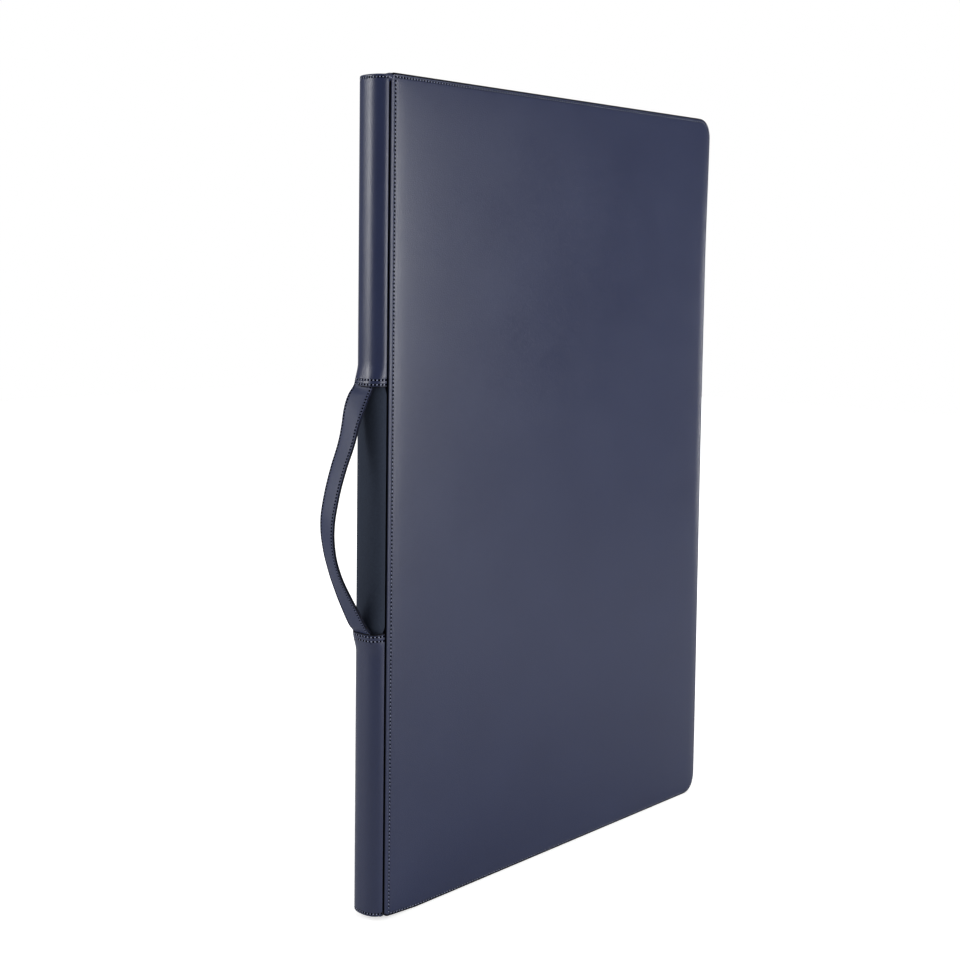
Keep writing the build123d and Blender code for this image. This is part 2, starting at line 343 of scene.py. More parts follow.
navyHide = dict(dark="#161F40", light="#1A2446", hole="#020308", cloudSize=90 * mm, speckSize=2.4 * mm,
                speckShare=0.5, grainCell=2.0 * mm, grainDepth=0.045 * mm, creaseShare=0.22,
                poresPerCell=2.6, poreShare=0.35, holeWidth=1.4, holeDepth=0.4 * mm,
                roughness=0.33, smoother=0.05, rougher=0.06, specular=0.5)
strapHide = dict(navyHide, dark="#1C2545", light="#222C4D", holeWidth=1.3, roughness=0.52,
                 specular=0.42)
liningHide = dict(navyHide, dark="#1F2740", light="#262E48", grainCell=1.4 * mm, roughness=0.58)
# the core's leather: partly its own colour, partly painted shade, as a duller, greyer copy of the navy
# for the bay under the strap
coreHideShaded = dict(navyHide, dark="#262C39", light="#2E3543", roughness=0.75, specular=0.12)
navyThread = dict(dark="#666D8A", light="#9DA4BE", plyPitch=0.47 * mm, plyDepth=0.06 * mm,
                  roughness=0.5, ior=1.57)
strapThread = dict(navyThread, dark="#3A4160", light="#555C7B")
# the black paint's colours, also used as painted shade in the crease's groove
blackPaintAndShade = dict(dark="#07080D", light="#10121A", brushSize=3 * mm, brushDepth=0.05 * mm,
                  roughness=0.65, specular=0.1, ior=1.5)
blackWebbing = dict(dark="#14161D", light="#252833", yarn=0.9 * mm, roughness=0.8, ior=1.53)
boardWood = dict(dark="#B08A5C", light="#D2AE7E", lineSpacing=44 * mm, roughness=0.65, ior=1.5)

stitching = dict(pitch=4.16 * mm, finePitch=3.45 * mm, fill=0.55, threadRound=0.46 * mm,
                 pressedIn=0.1 * mm, rise=0.30 * mm, dive=0.55 * mm, dip=3.2, taper=0.45,
                 slant=math.radians(7))

coverLeather = leather("buffedCowhideStitched", navyHide, stitching["pitch"])
sleeveLeather = leather("buffedCowhideSleeve", navyHide, stitching["finePitch"])
strapLeather = leather("buffedCowhideStrap", strapHide, stitching["finePitch"])
plainLeather = leather("buffedCowhide", navyHide)
coreLeatherShaded = leather("buffedCowhideCore", coreHideShaded)
liningLeather = leather("skivedCowhideLining", liningHide, stitching["pitch"])
# black edge paint, and the same material as painted shade in the groove of the crease
paintAndShade = edgePaintAndShade("burnishedEdgePaint", blackPaintAndShade)
thread = twistedThread("bondedPolyesterThread", navyThread)
darkThread = twistedThread("bondedPolyesterThreadDark", strapThread)
webbing = wovenNylon("wovenNylonWebbing", blackWebbing)
plywood = birchPlywood("sandedBirchPlywood", boardWood)
print("materials ready")


def placesAlong(points, normals, lengths, targets):
    # stitch middles, tangents and normals at distances along a line of points
    places, k = [], 0
    for target in targets:
        while lengths[k + 1] < target:
            k += 1
        share = (target - lengths[k]) / (lengths[k + 1] - lengths[k])
        places.append((points[k].lerp(points[k + 1], share), (points[k + 1] - points[k]).normalized(),
                       normals[k].lerp(normals[k + 1], share).normalized()))
    return places


def resample(points, normals, pitch, count=None):
    # a whole number of stitches along a line, and their real pitch
    lengths = runLengths(points)
    count = count or max(1, round(lengths[-1] / pitch))
    real = lengths[-1] / count
    return placesAlong(points, normals, lengths, [(i + 0.5) * real for i in range(count)]), real


def sewing(places, pitch):
    # each stitch is a short length of thread that dips into its two needle holes
    sides, stations = 6, 7
    half = 0.5 * pitch * stitching["fill"]
    points, faces = [], []
    for place, tangent, normal in places:
        tangent = Matrix.Rotation(stitching["slant"], 3, normal) @ tangent
        across = tangent.cross(normal)
        faces += tubeFaces(stations, sides, len(points), flip=True)
        for i in range(stations):
            way = 2 * i / (stations - 1) - 1
            lift = mix(stitching["rise"], -stitching["dive"], abs(way) ** stitching["dip"])
            thick = stitching["threadRound"] * (1 - stitching["taper"] * way * way)
            centre = place + tangent * (half * way) + normal * (lift - stitching["pressedIn"])
            for j in range(sides):
                turn = 2 * math.pi * j / sides
                points.append(centre + (across * math.cos(turn) + normal * math.sin(turn)) * thick)
    return points, faces


def sewRuns(name, runs, body, yarn=thread):
    points, faces = [], []
    for places, real in runs:
        addPart(points, faces, *sewing(places, real))
    makePiece(name, points, faces, [yarn], body)


leafShape = dict(
    cornerRound=25 * mm, topFold=5 * mm, footFold=5 * mm,  # corners at the free edge and the crease
    lipRound=1.5 * mm, rimRound=2.6 * mm, liningRound=1.8 * mm,  # where leather turns over an edge
    leatherThick=1.4 * mm, seamSink=0.7 * mm, seamRound=0.8 * mm, bandBulge=0.35 * mm,
    coverBack=4.2 * mm, liningBack=-0.1 * mm,  # the panels' flat backs, out from the board's inner face
    backInset=0.2 * mm,
    sideStitch=4.0 * mm, topStitch=4.5 * mm, footStitch=3.3 * mm,  # rows of stitches, in from the edges
    foldStitch=5.8 * mm, stitchTurn=3.0 * mm, channelDepth=0.32 * mm, channelWidth=1.1 * mm,
    crown=2.2 * mm, liningCrown=0.28 * mm, sidePaint=4,  # the first black band down the sides: painted shade in the crease, edge paint and painted shade at the free edge
    unevenness=0.12 * mm, waves=14, calm=4 * mm, calmRun=60 * mm,  # faint waves, none near the seams
    topEar=3.2 * mm, topEarRun=190 * mm, footEar=3.0 * mm, footEarRun=560 * mm,  # at the free corners
    footLift=3 * mm, footLiftRun=50 * mm, footLiftHeight=120 * mm,
    foldDrop=1.2 * mm, foldRun=20 * mm, rimDrop=1.9 * mm, rimRun=18 * mm,  # the face's slopes
    endDrop=0.2 * mm, endRun=9 * mm,
    first=0.45 * mm, growth=1.24, largest=6 * mm)  # the mesh's steps, from an edge inwards
padCloth = dict(frames=20, cell=8 * mm, filling=3 * mm)  # filling is the rise that nearly fills the pad
clothSettings = dict(vertex_group_mass="sewn", quality=4, mass=0.4, tension_stiffness=25,
                     compression_stiffness=25, bending_stiffness=4, use_pressure=True,
                     uniform_pressure_force=4.0)


def swellCloth(width, height):
    # the cover's leather, pinned along its seams and pushed out by the foam behind it
    columns, rows = round(width / padCloth["cell"]) + 1, round(height / padCloth["cell"]) + 1
    points = [(width * i / (columns - 1), 0.0, height * j / (rows - 1))
              for j in range(rows) for i in range(columns)]
    mesh = bpy.data.meshes.new("swellingCover")
    mesh.from_pydata(points, [], gridFaces(rows, columns))
    cloth = bpy.data.objects.new("swellingCover", mesh)
    scene = bpy.context.scene
    scene.collection.objects.link(cloth)
    cloth.vertex_groups.new(name="sewn").add(gridRim(rows, columns), 1.0, "REPLACE")
    swell = cloth.modifiers.new("swell", "CLOTH")
    for name, value in clothSettings.items():
        setattr(swell.settings, name, value)
    swell.settings.effector_weights.gravity = 0
    swell.point_cache.frame_end = padCloth["frames"]
    for number in range(1, padCloth["frames"] + 1):
        scene.frame_set(number)
    shaped = cloth.evaluated_get(bpy.context.evaluated_depsgraph_get())
    rise = np.array([abs(v.co.y) for v in shaped.data.vertices]).reshape(rows, columns)
    scene.frame_set(1)
    bpy.data.objects.remove(cloth)
    print(f"cloth swelled by up to {rise.max() / mm:.1f} mm")
    return rise


swellWidth = leafWidth - grooveHalf - leafShape["foldStitch"] - leafShape["sideStitch"]
swellHeight = padHeight - leafShape["topStitch"] - leafShape["footStitch"]
swell = swellCloth(swellWidth, swellHeight)


def swellAt(a, h):  # the rise at a place on the leaf
    rows, columns = swell.shape
    x = (a - grooveHalf - leafShape["foldStitch"]) / swellWidth * (columns - 1)
    y = (h - leafShape["footStitch"]) / swellHeight * (rows - 1)
    if not (0 < x < columns - 1 and 0 < y < rows - 1):
        return 0.0
    i, j = int(x), int(y)
    low = mix(swell[j, i], swell[j, i + 1], x - i)
    high = mix(swell[j + 1, i], swell[j + 1, i + 1], x - i)
    return mix(low, high, y - j)


def stitchLine():  # the closed row of topstitches
    left, right = grooveHalf + leafShape["foldStitch"], leafWidth - leafShape["sideStitch"]
    low, high = leafShape["footStitch"], padHeight - leafShape["topStitch"]
    r, turn = leafShape["cornerRound"] - leafShape["sideStitch"], leafShape["stitchTurn"]
    line = [(left, high)]
    for ca, ch, radius, start in ((left + turn, low + turn, turn, 180), (right - r, low + r, r, 270),
                                  (right - r, high - r, r, 0)):
        line += quarterTurn(ca, ch, radius, start, 12)
    fine = []  # short steps, so that the row follows the leaf's slopes
    for (a, h), (nextA, nextH) in zip(line, line[1:] + line[:1]):
        count = max(1, round(math.dist((a, h), (nextA, nextH)) / leafShape["largest"]))
        fine += [(mix(a, nextA, i / count), mix(h, nextH, i / count)) for i in range(count)]
    return fine + [line[0]]


def seamPlace(points2d, line, pitch):
    # phase along and distance in mm from the nearest part of a row of stitches, for each point
    points2d, line = np.array(points2d), np.array(line)
    best, phase = np.full(len(points2d), 1e9), np.zeros(len(points2d))
    done, total = 0.0, np.linalg.norm(np.diff(line, axis=0), axis=1).sum()
    real = total / round(total / pitch)
    for start, end in zip(line, line[1:]):
        way = end - start
        length = np.linalg.norm(way)
        share = np.clip((points2d - start) @ way / length ** 2, 0, 1)
        away = np.linalg.norm(points2d - start - share[:, None] * way, axis=1)
        near = away < best
        best[near], phase[near] = away[near], ((done + share * length) / real)[near]
        done += length
    return phase, best / mm


def leafGrid(rim, lip):
    # grid over the flat of a leaf, its outer rows bent round the corners, with outward directions
    left, right, low, high = grooveHalf + lip, leafWidth - rim, rim, padHeight - rim
    stitchA = [grooveHalf + leafShape["foldStitch"] - left, leafWidth - leafShape["sideStitch"] - left]
    stitchH = [leafShape["footStitch"] - low, padHeight - leafShape["topStitch"] - low]
    density = (leafShape["first"], leafShape["growth"], leafShape["largest"])
    across = [left + s for s in steps(right - left, *density, stitchA)]
    up = [low + s for s in steps(high - low, *density, stitchH)]
    free = leafShape["cornerRound"] - rim
    top, foot = leafShape["topFold"] - lip, leafShape["footFold"] - lip
    corners = [(right - free, low + free, 1, -1, free), (right - free, high - free, 1, 1, free),
               (left + foot, low + foot, -1, -1, foot), (left + top, high - top, -1, 1, top)]
    places, outward = [], []
    for h in up:
        for a in across:
            way = (0.0, 0.0)
            if a in (across[0], across[-1]):
                way = (-1.0 if a == across[0] else 1.0, 0.0)
            elif h in (up[0], up[-1]):
                way = (0.0, -1.0 if h == up[0] else 1.0)
            place = (a, h)
            for ca, ch, sa, sh, radius in corners:
                da, dh = (a - ca) * sa, (h - ch) * sh
                if da > 0 and dh > 0:
                    ring = max(da, dh)
                    turn = math.pi / 4 * (dh / da if da >= dh else 2 - da / dh)
                    way = (sa * math.cos(turn), sh * math.sin(turn))
                    place = (ca + ring * way[0], ch + ring * way[1])
            places.append(place)
            outward.append(way)
    return places, outward, len(up), len(across)


def leafPoint(side, a, h, depth):
    # the leaf as it is sewn: its free edge draws in between the corners, its foot lifts towards the
    # crease, and its face slopes down to every edge
    ear = (leafShape["topEar"] * (1 - smooth((padHeight - h) / leafShape["topEarRun"]))
           + leafShape["footEar"] * (1 - smooth(h / leafShape["footEarRun"])))
    lift = (leafShape["footLift"] * max(0.0, 1 - a / leafShape["footLiftRun"])
            * (1 - smooth(h / leafShape["footLiftHeight"])))
    fold = max(0.0, 1 - (a - grooveHalf) / leafShape["foldRun"])
    rim = min(1.0, max(0.0, 1 - (leafWidth - a) / leafShape["rimRun"]))
    end = min(1.0, max(0.0, 1 - min(h, padHeight - h) / leafShape["endRun"]))
    drop = max(leafShape["foldDrop"] * fold ** 2, leafShape["rimDrop"] * rim ** 2,
               leafShape["endDrop"] * end ** 2)
    outer = smooth(2.5 * a / leafWidth - 1.5)  # none up to 60 % of the width, and all at the free edge
    return Vector((creaseX + a + ear * outer,
                   side * (depth - drop * (depth / faceDepth) ** 2), h + lift))


seamTurn = ((0.15, 0.5), (0.5, 0.12), (1.0, 0.0))  # shares of sink and rounding, down into a seam


def leafPanel(name, side, spec, material, body, replaced):
    # closed padded panel: face, rounded rim, side down to the band's seam, and a flat back.
    # spec gives depths from the middle of the pad, so the lining's face is the shallow one, and its
    # last key gives the first black band of the rim: painted shade, with some edge paint
    facing = 1 if spec["face"] > spec["seam"] else -1
    places, outward, rows, columns = leafGrid(spec["rim"], spec["lip"])
    loop = gridRim(rows, columns)
    points, away = [], seamPlace(places, stitchLine(), stitching["pitch"])[1] * mm
    for (a, h), near in zip(places, away):
        padding = spec["crown"] * (1 - math.exp(-swellAt(a, h) / padCloth["filling"]))
        channel = leafShape["channelDepth"] * math.exp(-(near / leafShape["channelWidth"]) ** 2)
        uneven = leafShape["unevenness"] * smooth((near - leafShape["calm"]) / leafShape["calmRun"])
        apart = Vector((0, 0, 3.7 * side))  # so that the two leaves have waves of their own
        wave = noise.noise(Vector((a, h, 0)) * leafShape["waves"] + apart)
        rise = padding + wave * uneven - channel
        points.append(leafPoint(side, a, h, spec["face"] + facing * rise))
    turns, fullSide = 7, abs(spec["face"] - spec["seam"])
    sink, bend, thick = leafShape["seamSink"], leafShape["seamRound"], leafShape["leatherThick"]
    profile = []  # distance out and depth back from the face, first as shares of the rim's rounding
    for i in range(1, turns + 1):
        angle = math.pi / 2 * i / turns
        profile.append(("round", math.sin(angle), 1 - math.cos(angle)))
    profile.append(("side", 0.0, fullSide - bend))
    profile += [("side", -inwards * sink, fullSide - above * bend) for inwards, above in seamTurn]
    profile.append(("side", -thick, fullSide))
    profile.append(("side", -thick - leafShape["backInset"], abs(spec["face"] - spec["back"])))
    for kind, out, back in profile:
        for index in loop:
            (a, h), way = places[index], outward[index]
            radius = mix(spec["rim"], spec["lip"], max(0.0, -way[0]))
            if kind == "round":
                reach, down = out * radius, back * radius
            else:
                reach, down = radius + out, max(back, radius) if out == 0.0 else back
            depth = spec["face"] - facing * down
            points.append(leafPoint(side, a + way[0] * reach, h + way[1] * reach, depth))
    faces = gridFaces(rows, columns)
    flatCount, ring, count = len(faces), len(loop), len(places)
    starts = [loop] + [[count + k * ring + i for i in range(ring)] for k in range(len(profile))]
    for near, far in zip(starts, starts[1:]):
        faces += [(near[(i + 1) % ring], near[i], far[i], far[(i + 1) % ring]) for i in range(ring)]
    backIndex = dict(zip(loop, starts[-1]))
    for index, (a, h) in enumerate(places):
        if index not in backIndex:
            backIndex[index] = len(points)
            points.append(leafPoint(side, a, h, spec["back"]))
    faces += [tuple(backIndex[i] for i in face[::-1]) for face in gridFaces(rows, columns)]
    if facing * side > 0:
        faces = [face[::-1] for face in faces]
    piece = makePiece(name, points, faces, [material, paintAndShade], body, replaced)
    for i, index in enumerate(loop):  # black down the sides, as painted shade in the crease and edge paint with painted shade at the free edge, and over the top and foot rims as painted shade
        up = outward[index][1]
        firstRim = 0 if up < 0 else spec["paintFrom"]
        sides = range(leafShape["sidePaint"], len(profile))
        bands = sides if abs(up) < 0.5 else range(firstRim, turns)
        setSecondMaterial(piece, [flatCount + k * ring + i for k in bands])
    sewn = [(p.x - creaseX, p.z) for p in (leafPoint(side, a, h, 0) for a, h in stitchLine())]
    phase, across = seamPlace([(p.x - creaseX, p.z) for p in points], sewn, stitching["pitch"])
    across[count + ring * turns:] = noSeam
    setSeam(piece, phase, across)
    return piece


def leafStitches(name, side, level, facing, body):
    line = [leafPoint(side, a, h, level) for a, h in stitchLine()]
    normal = Vector((0, side * facing, 0))
    sewRuns(name, [resample(line, [normal] * len(line), stitching["pitch"])], body)


def edgeBand(name, side, body, replaced):
    # strip of leather round the rim, slightly full between its two seams
    places, outward, rows, columns = leafGrid(leafShape["rimRound"], leafShape["lipRound"])
    loop = gridRim(rows, columns)
    width, inner = turnDepth - bandDepth, -leafShape["leatherThick"]
    sink, bend = leafShape["seamSink"], leafShape["seamRound"]
    profile = [(-inwards * sink, above * bend) for inwards, above in seamTurn[::-1]]
    profile += [(leafShape["bandBulge"] * math.sin(math.pi * s), bend + (width - 2 * bend) * s)
                for s in (0.0, 0.15, 0.35, 0.5, 0.65, 0.85, 1.0)]
    profile += [(-inwards * sink, width - above * bend) for inwards, above in seamTurn]
    profile += [(inner, width), (inner, 0.0)]
    points = []
    for out, down in profile:
        for index in loop:
            (a, h), way = places[index], outward[index]
            reach = mix(leafShape["rimRound"], leafShape["lipRound"], max(0.0, -way[0]))
            reach += out if way[0] > -0.5 else min(out, 0.0)  # no bulge in the crease
            points.append(leafPoint(side, a + way[0] * reach, h + way[1] * reach, turnDepth - down))
    ring, around = len(loop), len(profile)
    faces = []
    for k in range(around):
        for i in range(ring):
            j, m = (i + 1) % ring, (k + 1) % around
            faces.append((k * ring + j, k * ring + i, m * ring + i, m * ring + j))
    if side > 0:
        faces = [face[::-1] for face in faces]
    makePiece(name, points, faces, [plainLeather], body, replaced)


outerSpec = dict(face=faceDepth, seam=turnDepth, back=boardDepth + leafShape["coverBack"],
                 rim=leafShape["rimRound"], lip=leafShape["lipRound"], crown=leafShape["crown"],
                 paintFrom=1)
innerSpec = dict(face=liningDepth, seam=bandDepth, back=boardDepth + leafShape["liningBack"],
                 rim=leafShape["liningRound"], lip=leafShape["liningRound"],
                 crown=leafShape["liningCrown"], paintFrom=3)
for leaf, side in (("front", -1), ("rear", 1)):
    body = f"{leaf}_leaf"
    cover = leafPanel(f"{leaf}Cover", side, outerSpec, coverLeather, body,
                      [f"{leaf}_outer_panel", f"{leaf}_pad_foam"])
    liningPanel = leafPanel(f"{leaf}Lining", side, innerSpec, liningLeather, body,
                            [f"{leaf}_inner_panel", f"{leaf}_inner_foam"])
    edgeBand(f"{leaf}EdgeBand", side, body, [f"{leaf}_edge_band"])
    leafStitches(f"{leaf}CoverStitches", side, faceDepth - leafShape["channelDepth"], 1, body)
    leafStitches(f"{leaf}LiningStitches", side, liningDepth + leafShape["channelDepth"], -1, body)
    print(f"{leaf} leaf covered and sewn")


spineShape = dict(
    lip=1.4 * mm, lipReach=1.15, sleeve=1.2 * mm, underGap=0.1 * mm,
    power=2.3, flarePower=3.0, flareLength=24 * mm,  # how square the section is: 2 is an ellipse
    hemRows=(2.8 * mm, 7.6 * mm), endRow=3.4 * mm,  # rows of stitches, in from the hem and the end
    hemRound=0.5 * mm, hemRun=1.0 * mm, endRound=1.8 * mm, endDraws=(0.08, 0.25, 0.5),
    channelDepth=0.3 * mm, channelWidth=1.0 * mm, sleeveSteps=(0.5 * mm, 1.22, 7 * mm),
    coreSwell=7 * mm, coreTuck=30 * mm, coreEnd=0.8 * mm, coreSteps=(2 * mm, 1.2, 8 * mm),
    wallSteps=6, lipSteps=8, arcSteps=30)  # points on the wall, its lip and the free surface
spineBulge = creaseX - underLow.x + spineShape["sleeve"] + spineShape["underGap"]
mouthBulge = creaseX - sleeveLow.x
lipIndex = spineShape["wallSteps"] + spineShape["lipSteps"]  # where the free surface starts
wallCount = spineShape["wallSteps"] + 3  # the wall and the start of its lip


def spineHalf(inset, bulge, power):
    # half the spine's section, from the middle of its wall round the lip to the apex, as (back, aside)
    reach, half, wall = bulge - inset, faceDepth - inset, wallBack + inset
    lip, wallSteps, lipSteps = spineShape["lip"], spineShape["wallSteps"], spineShape["lipSteps"]

    def aside(back):  # how wide the free surface is, that far back from the crease
        return half * (1 - (back / reach) ** power) ** (1 / power)

    foot, near = wall + lip * spineShape["lipReach"], 0.1 * mm  # foot is where the lip ends
    slope = (aside(foot + near) - aside(foot)) / near
    start, end = (wall, aside(foot) - lip), (foot, aside(foot))
    corner = (wall, aside(foot) - slope * (foot - wall))
    section = [(wall, start[1] * i / wallSteps) for i in range(wallSteps)]
    for i in range(lipSteps):
        t = i / lipSteps
        section.append([(1 - t) ** 2 * s + 2 * t * (1 - t) * c + t * t * e
                        for s, c, e in zip(start, corner, end)])
    startAngle = math.asin(min(1.0, (foot / reach) ** (power / 2)))
    for i in range(spineShape["arcSteps"] + 1):
        angle = mix(startAngle, math.pi / 2, i / spineShape["arcSteps"])
        section.append((reach * math.sin(angle) ** (2 / power),
                        half * max(0.0, math.cos(angle)) ** (2 / power)))
    return section


def spineLoop(inset, bulge, power):  # closed section, front half then rear half, as (x, y)
    front = [(creaseX - back, -aside) for back, aside in spineHalf(inset, bulge, power)]
    return front + [(x, -y) for x, y in front[-2:0:-1]]


def outwards(section, i):  # the section's outward direction at a point
    (x, y), (u, v) = section[i - 1], section[(i + 1) % len(section)]
    return Vector((y - v, u - x, 0)).normalized()


def wallFaces(count):  # a section's faces along its wall
    return [*range(wallCount), *range(count - wallCount, count)]


def capFaces(start, count, flip=False):
    # closes a section: one face along its straight wall, then quads that join its mirrored halves
    rounded = spineShape["wallSteps"] + 1  # the first point past the wall
    faces = [tuple(start + i % count for i in range(count - rounded, count + rounded + 1))]
    for i in range(rounded, count // 2 - 1):
        faces.append((start + i, start + i + 1, start + count - i - 1, start + count - i))
    faces.append((start + count // 2 - 1, start + count // 2, start + count // 2 + 1))
    return [face[::-1] for face in faces] if flip else faces


def sleeveLevels(hem, end):
    # distances from the hem to the spine's end, with the stitch rows kept
    length = abs(end - hem)
    rows = [*spineShape["hemRows"], length - spineShape["endRow"]]
    return steps(length, *spineShape["sleeveSteps"], rows), rows


def flareAt(level):  # the section's bulge and squareness, that far from the hem
    share = smooth(1 - level / spineShape["flareLength"])
    return mix(spineBulge, mouthBulge, share), mix(spineShape["power"], spineShape["flarePower"], share)


freeLengths = runLengths(spineLoop(spineShape["channelDepth"], spineBulge, spineShape["power"]))
aroundCount = round((freeLengths[-lipIndex] - freeLengths[lipIndex]) / stitching["finePitch"])


def makeSleeve(name, hem, end, replaced):
    # sheath round the spine, flared at its hem and drawn in at its end, with its inner side
    way, length = math.copysign(1, end - hem), abs(end - hem)
    levels, rows = sleeveLevels(hem, end)
    rounding, thick = spineShape["endRound"], spineShape["sleeve"]
    points, across, phase = [], [], []

    def addRing(inset, level, rowGap=noSeam, drawn=0.0):
        bulge, power = flareAt(level)
        section = spineLoop(inset, bulge, power)
        lengths = runLengths(section)
        first, last = lengths[lipIndex], lengths[len(section) - lipIndex]
        for (x, y), reach in zip(section, lengths):
            x, y = mix(x, creaseX - bulge / 2, drawn), mix(y, 0.0, drawn)
            points.append(Vector((x, y, hem + way * level)))
            across.append(rowGap)
            phase.append(aroundCount * (reach - first) / (last - first))

    for level in levels:
        gap = min(abs(level - row) for row in rows)
        channel = spineShape["channelDepth"] * math.exp(-(gap / spineShape["channelWidth"]) ** 2)
        turned = spineShape["hemRound"] * (1 - smooth(level / spineShape["hemRun"]))
        past = max(0.0, rounding - (length - level))
        drawnIn = rounding - math.sqrt(rounding ** 2 - past ** 2)
        addRing(channel + turned + drawnIn, level, gap / mm)
    for drawn in spineShape["endDraws"]:
        addRing(rounding, length, drawn=drawn)
    inner = [s for s in levels if s < length - 2 * thick] + [length - thick]
    for level in reversed(inner):
        addRing(thick, level)
    outerCount, innerCount = len(levels) + len(spineShape["endDraws"]), len(inner)
    count = len(points) // (outerCount + innerCount)
    innerStart, last = outerCount * count, (outerCount + innerCount - 1) * count
    faces = gridFaces(outerCount, count, wrap=True)
    faces += gridFaces(innerCount, count, innerStart, wrap=True)
    hemFace = len(faces)
    faces += [(last + i, last + (i + 1) % count, (i + 1) % count, i) for i in range(count)]
    faces += capFaces(innerStart - count, count) + capFaces(innerStart, count, flip=True)
    if way > 0:
        faces = [face[::-1] for face in faces]
    piece = makePiece(name, points, faces, [sleeveLeather, paintAndShade], "spine", replaced)
    hemBands = 2
    # the hem's cut edge in black edge paint, which also paints the shade under the hem
    setSecondMaterial(piece, [*range(hemBands * count), *range(hemFace, hemFace + count)])
    # painted shade: the wall down in the crease's groove is black
    setSecondMaterial(piece, [k * count + i for k in range(hemBands, len(levels) - 1) for i in wallFaces(count)])
    setSeam(piece, phase, across)


def sleeveRows(hem, end):  # rows of stitches round a sleeve, from lip to lip
    runs = []
    for level in sleeveLevels(hem, end)[1]:
        section = spineLoop(spineShape["channelDepth"], *flareAt(level))
        chosen = range(lipIndex, len(section) - lipIndex + 1)
        line = [Vector((*section[i], hem + math.copysign(level, end - hem))) for i in chosen]
        normals = [outwards(section, i) for i in chosen]
        runs.append(resample(line, normals, stitching["finePitch"], aroundCount))
    return runs


sleeves = (("upper", hemHigh, spineHigh), ("lower", hemLow, spineLow))
for part, hem, end in sleeves:
    makeSleeve(f"{part}Sleeve", hem, end, [f"spine_{part}_sleeve"])
for part, hem, end in sleeves:
    sewRuns(f"{part}SleeveStitches", sleeveRows(hem, end), "spine")


def makeCore():
    # rounded leather cover of the core: full between the hems, and drawn in under the sleeves
    held = spineShape["sleeve"] + spineShape["underGap"]
    length, tuck = hemHigh - hemLow, spineShape["coreTuck"]
    tucked = [tuck, tuck - 1 * mm, tuck / 2]
    marks = [-m for m in tucked] + steps(length, *spineShape["coreSteps"])
    marks += [length + m for m in tucked[::-1]]
    points = []
    for k, mark in enumerate(marks):
        full = smooth(min(mark, length - mark) / spineShape["coreSwell"])
        end = spineShape["coreEnd"] if k in (0, len(marks) - 1) else 0.0
        ring = spineLoop(held * (1 - full) + end, spineBulge, mix(2.0, spineShape["power"], full))
        points += [Vector((x, y, hemLow + mark)) for x, y in ring]
    count = len(points) // len(marks)
    faces = gridFaces(len(marks), count, wrap=True, flip=True)
    faces += capFaces((len(marks) - 1) * count, count, flip=True) + capFaces(0, count)
    piece = makePiece("spineCore", points, faces, [coreLeatherShaded, paintAndShade], "spine",
                      ["spine_underlay", "spine_foam"])
    # painted shade: the wall down in the crease's groove is black
    setSecondMaterial(piece, [k * count + i for k in range(len(marks) - 1) for i in wallFaces(count)])


makeCore()
print("spine covered and sewn")


strapShape = dict(
    face=1.2 * mm, core=1.0 * mm, lining=1.0 * mm, endWidth=26 * mm, gripWidth=22 * mm,
    rowInset=2.1 * mm, channelDepth=0.22 * mm, channelWidth=0.7 * mm, crown=0.35 * mm, rowCrown=0.3,
    edgeSteps=(0.0, 0.12 * mm, 0.45 * mm, 1.0 * mm), edgeSinks=(0.5, 0.22, 0.05),  # its soft edges
    rowSteps=(-0.5 * mm, 0.0, 0.5 * mm, 1.4 * mm),
    twists=((-13, -52 * mm, 68 * mm), (14, 116 * mm, 30 * mm)))  # degrees, height above the middle, run
# the strap's outer face, as (reach beyond the crease, height above the middle) in mm, top to bottom
strapKnots = [(16.0, 141), (18.0, 131), (24.6, 121), (31.4, 106), (36.4, 91), (41.0, 75), (53.5, 45),
              (63.0, 15), (67.3, -10), (65.3, -35), (57.8, -60), (45.7, -85), (34.3, -105), (23.0, -124),
              (17.0, -131.5), (16.0, -141)]


def strapLine():
    # smooth line through the knots, as places and outward directions
    curve = bpy.data.curves.new("strapRoute", "CURVE")
    curve.dimensions = "3D"
    spline = curve.splines.new("BEZIER")
    spline.bezier_points.add(len(strapKnots) - 1)
    for knot, (reach, height) in zip(spline.bezier_points, strapKnots):
        knot.co = (creaseX - reach * mm, 0, handleMid + height * mm)
        knot.handle_left_type = knot.handle_right_type = "AUTO"
    spline.resolution_u = 14
    holder = bpy.data.objects.new("strapRoute", curve)
    bpy.context.scene.collection.objects.link(holder)
    mesh = bpy.data.meshes.new_from_object(holder)
    line = [v.co.copy() for v in mesh.vertices]
    bpy.data.objects.remove(holder)
    bpy.data.meshes.remove(mesh)
    ways = [(b - a).normalized() for a, b in zip(line[:1] + line, line[1:] + line[-1:])]
    return line, [Vector((way.z, 0, -way.x)) for way in ways]


strapPath, strapOut = strapLine()
strapLengths = runLengths(strapPath)


def strapWidth(height):
    away = min(1.0, abs(height - handleMid) / ((hemHigh - hemLow) / 2))
    return mix(strapShape["gripWidth"], strapShape["endWidth"], smooth(mix(-0.05, 1, away)))


def strapFrame(i):  # place, outward and sideways directions at a step along the strap
    out, aside = strapOut[i], Vector((0, 1, 0))
    turn = 0.0
    for angle, height, run in strapShape["twists"]:
        off = min(1.0, abs(strapPath[i].z - handleMid - height) / run)
        turn += math.radians(angle) * math.cos(off * math.pi / 2) ** 2
    return (strapPath[i], out * math.cos(turn) - aside * math.sin(turn),
            aside * math.cos(turn) + out * math.sin(turn))


